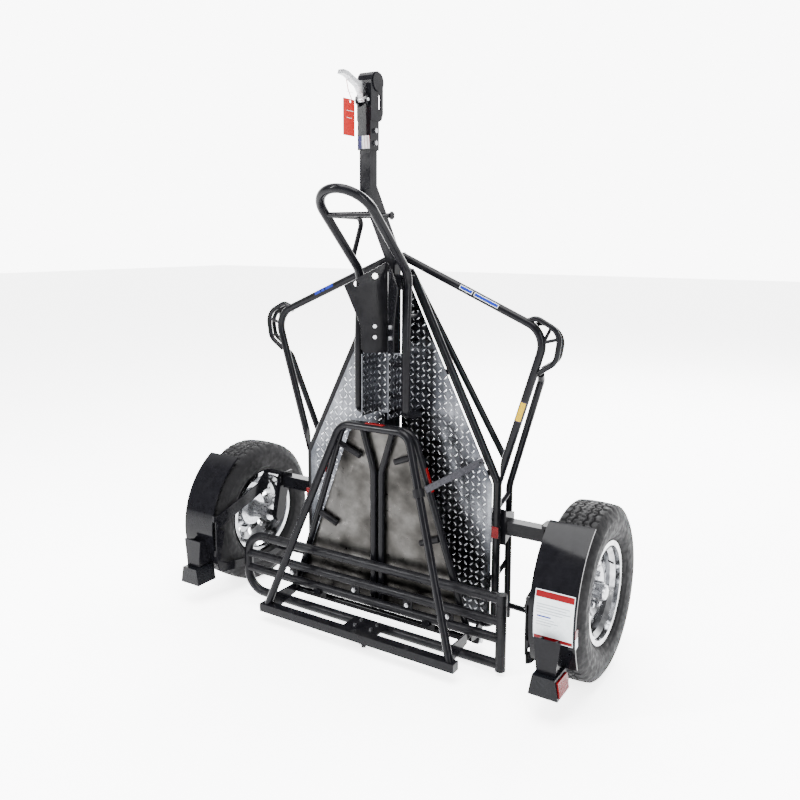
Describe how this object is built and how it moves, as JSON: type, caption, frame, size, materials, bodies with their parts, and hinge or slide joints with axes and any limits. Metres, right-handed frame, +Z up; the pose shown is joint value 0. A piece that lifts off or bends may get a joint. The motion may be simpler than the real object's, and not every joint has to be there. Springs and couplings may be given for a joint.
{
  "type": "folding motorcycle trailer",
  "caption": "Folding motorcycle trailer stored upright: slender deck with wheel chock, tie-down arms, tongue with ball coupler, folded tail with ramp, sprung road wheels under curved fenders.",
  "frame": {"origin": "on the floor, under the centre of the overall box", "axes": "+X to the trailer's right side as seen from the loading side of the deck, +Y behind the deck, +Z up along the upright deck towards the coupler"},
  "size_m": [1.73, 0.7347, 2.086],
  "materials": {
    "frame_paint": "gloss black powder coat",
    "fender_paint": "deep gloss black",
    "tread_plate": "bright diamond tread plate",
    "sheet_alloy": "mill finish sheet",
    "zinc": "bright zinc plate",
    "tyre": "matt tyre rubber",
    "chrome": "polished chrome",
    "caster_tread": "hard rubber",
    "ramp_paint": "satin dark grey powder coat",
    "strap_steel": "worn grey steel",
    "peg_rubber": "moulded rubber",
    "lamp_housing": "moulded black plastic",
    "red_lens": "ribbed red lens",
    "paper_tag": "coated paper"
  },
  "bodies": {
    "main_frame": {"spine_tongue": "frame_paint", "deck_frame": "frame_paint", "deck_plate": "tread_plate", "wheel_channel": "tread_plate", "chock_hoop": "frame_paint", "chock_plate_left": "frame_paint", "chock_plate_right": "frame_paint", "chock_bracket": "frame_paint", "chock_bolts": "zinc", "tie_down_arm_left": "frame_paint", "tie_down_arm_right": "frame_paint", "rear_truss_left": "frame_paint", "rear_truss_right": "frame_paint", "axle_beam": "frame_paint", "axle_brackets": "frame_paint", "hinge_lugs": "frame_paint", "hinge_pins": "zinc", "chain_anchor": "frame_paint", "deck_reflectors": "red_lens", "fender_left": "fender_paint", "fender_right": "fender_paint", "fender_stay_left": "frame_paint", "fender_stay_right": "frame_paint", "light_bracket_left": "frame_paint", "light_bracket_right": "frame_paint", "light_box_left": "lamp_housing", "light_box_right": "lamp_housing", "light_lens_left": "red_lens", "light_lens_right": "red_lens", "coupler_body": "frame_paint", "coupler_bolts": "zinc"},
    "coupler_jaw": {"coupler_clamp": "zinc"},
    "latch": {"latch_lever": "zinc"},
    "tag": {"hang_tag": "paper_tag"},
    "axle_arm_left": {"torsion_arm_left": "frame_paint"},
    "axle_arm_right": {"torsion_arm_right": "frame_paint"},
    "wheel_left": {"tyre_left": "tyre", "rim_left": "chrome", "hub_left": "zinc", "lug_nuts_left": "zinc"},
    "wheel_right": {"tyre_right": "tyre", "rim_right": "chrome", "hub_right": "zinc", "lug_nuts_right": "zinc"},
    "tail_section": {"tail_frame": "frame_paint", "tail_plate": "sheet_alloy", "tail_keel": "frame_paint", "ramp_pegs": "peg_rubber", "stand_hoop": "frame_paint", "stand_gussets": "frame_paint", "tail_reflectors": "red_lens", "caster_bracket": "frame_paint", "caster_bolts": "zinc"},
    "caster_swivel": {"caster_fork": "zinc", "caster_axle": "zinc"},
    "caster_roller": {"caster_wheel": "caster_tread"},
    "ramp_unit": {"ramp": "ramp_paint", "ramp_knobs": "zinc"},
    "lock_strut": {"lock_bar": "strap_steel", "lock_clamp": "peg_rubber"}
  },
  "joints": [
    {"name": "tail_fold", "type": "hinge", "parent": "main_frame", "child": "tail_section", "pos_m": [0, -0.022, 0.044], "axis": [1, 0, 0], "range_deg": [0, 180]},
    {"name": "suspension_left", "type": "hinge", "parent": "main_frame", "child": "axle_arm_left", "pos_m": [-0.6, 0.098, 0.455], "axis": [1, 0, 0], "range_deg": [-7, 4], "stiffness_Nm_per_rad": 1400},
    {"name": "suspension_right", "type": "hinge", "parent": "main_frame", "child": "axle_arm_right", "pos_m": [0.6, 0.098, 0.455], "axis": [1, 0, 0], "range_deg": [-7, 4], "stiffness_Nm_per_rad": 1400},
    {"name": "wheel_spin_left", "type": "hinge", "parent": "axle_arm_left", "child": "wheel_left", "pos_m": [-0.78, 0.061, 0.305], "axis": [1, 0, 0], "continuous": true},
    {"name": "wheel_spin_right", "type": "hinge", "parent": "axle_arm_right", "child": "wheel_right", "pos_m": [0.78, 0.061, 0.305], "axis": [1, 0, 0], "continuous": true},
    {"name": "caster_turn", "type": "hinge", "parent": "tail_section", "child": "caster_swivel", "pos_m": [0.014, -0.207, 0.055], "axis": [0, 0, 1], "continuous": true},
    {"name": "caster_spin", "type": "hinge", "parent": "caster_swivel", "child": "caster_roller", "pos_m": [0.03, -0.231, 0.02], "axis": [0.8321, 0.5547, 0], "continuous": true},
    {"name": "ramp_slide", "type": "slide", "parent": "tail_section", "child": "ramp_unit", "axis": [1, 0, 0], "range_m": [0, 0.11]},
    {"name": "lock_swing", "type": "hinge", "parent": "tail_section", "child": "lock_strut", "pos_m": [0.222, -0.16167, 0.61054], "axis": [-0.3232, 0.1739, 0.9302], "range_deg": [-100, 0]},
    {"name": "latch_swing", "type": "hinge", "parent": "main_frame", "child": "latch", "pos_m": [0, -0.192, 1.985], "axis": [1, 0, 0], "range_deg": [0, 80]},
    {"name": "jaw_slide", "type": "slide", "parent": "main_frame", "child": "coupler_jaw", "axis": [0, 0, 1], "range_m": [0, 0.0066]},
    {"name": "tag_swing", "type": "hinge", "parent": "latch", "child": "tag", "pos_m": [-0.013, -0.264, 2.05], "axis": [1, 0, 0], "range_deg": [-80, 0]}
  ],
  "couplings": [
    {"joint": "jaw_slide", "follows": "latch_swing", "m_per_rad": 0.0045},
    {"joint": "tag_swing", "follows": "latch_swing", "ratio": -1}
  ]
}
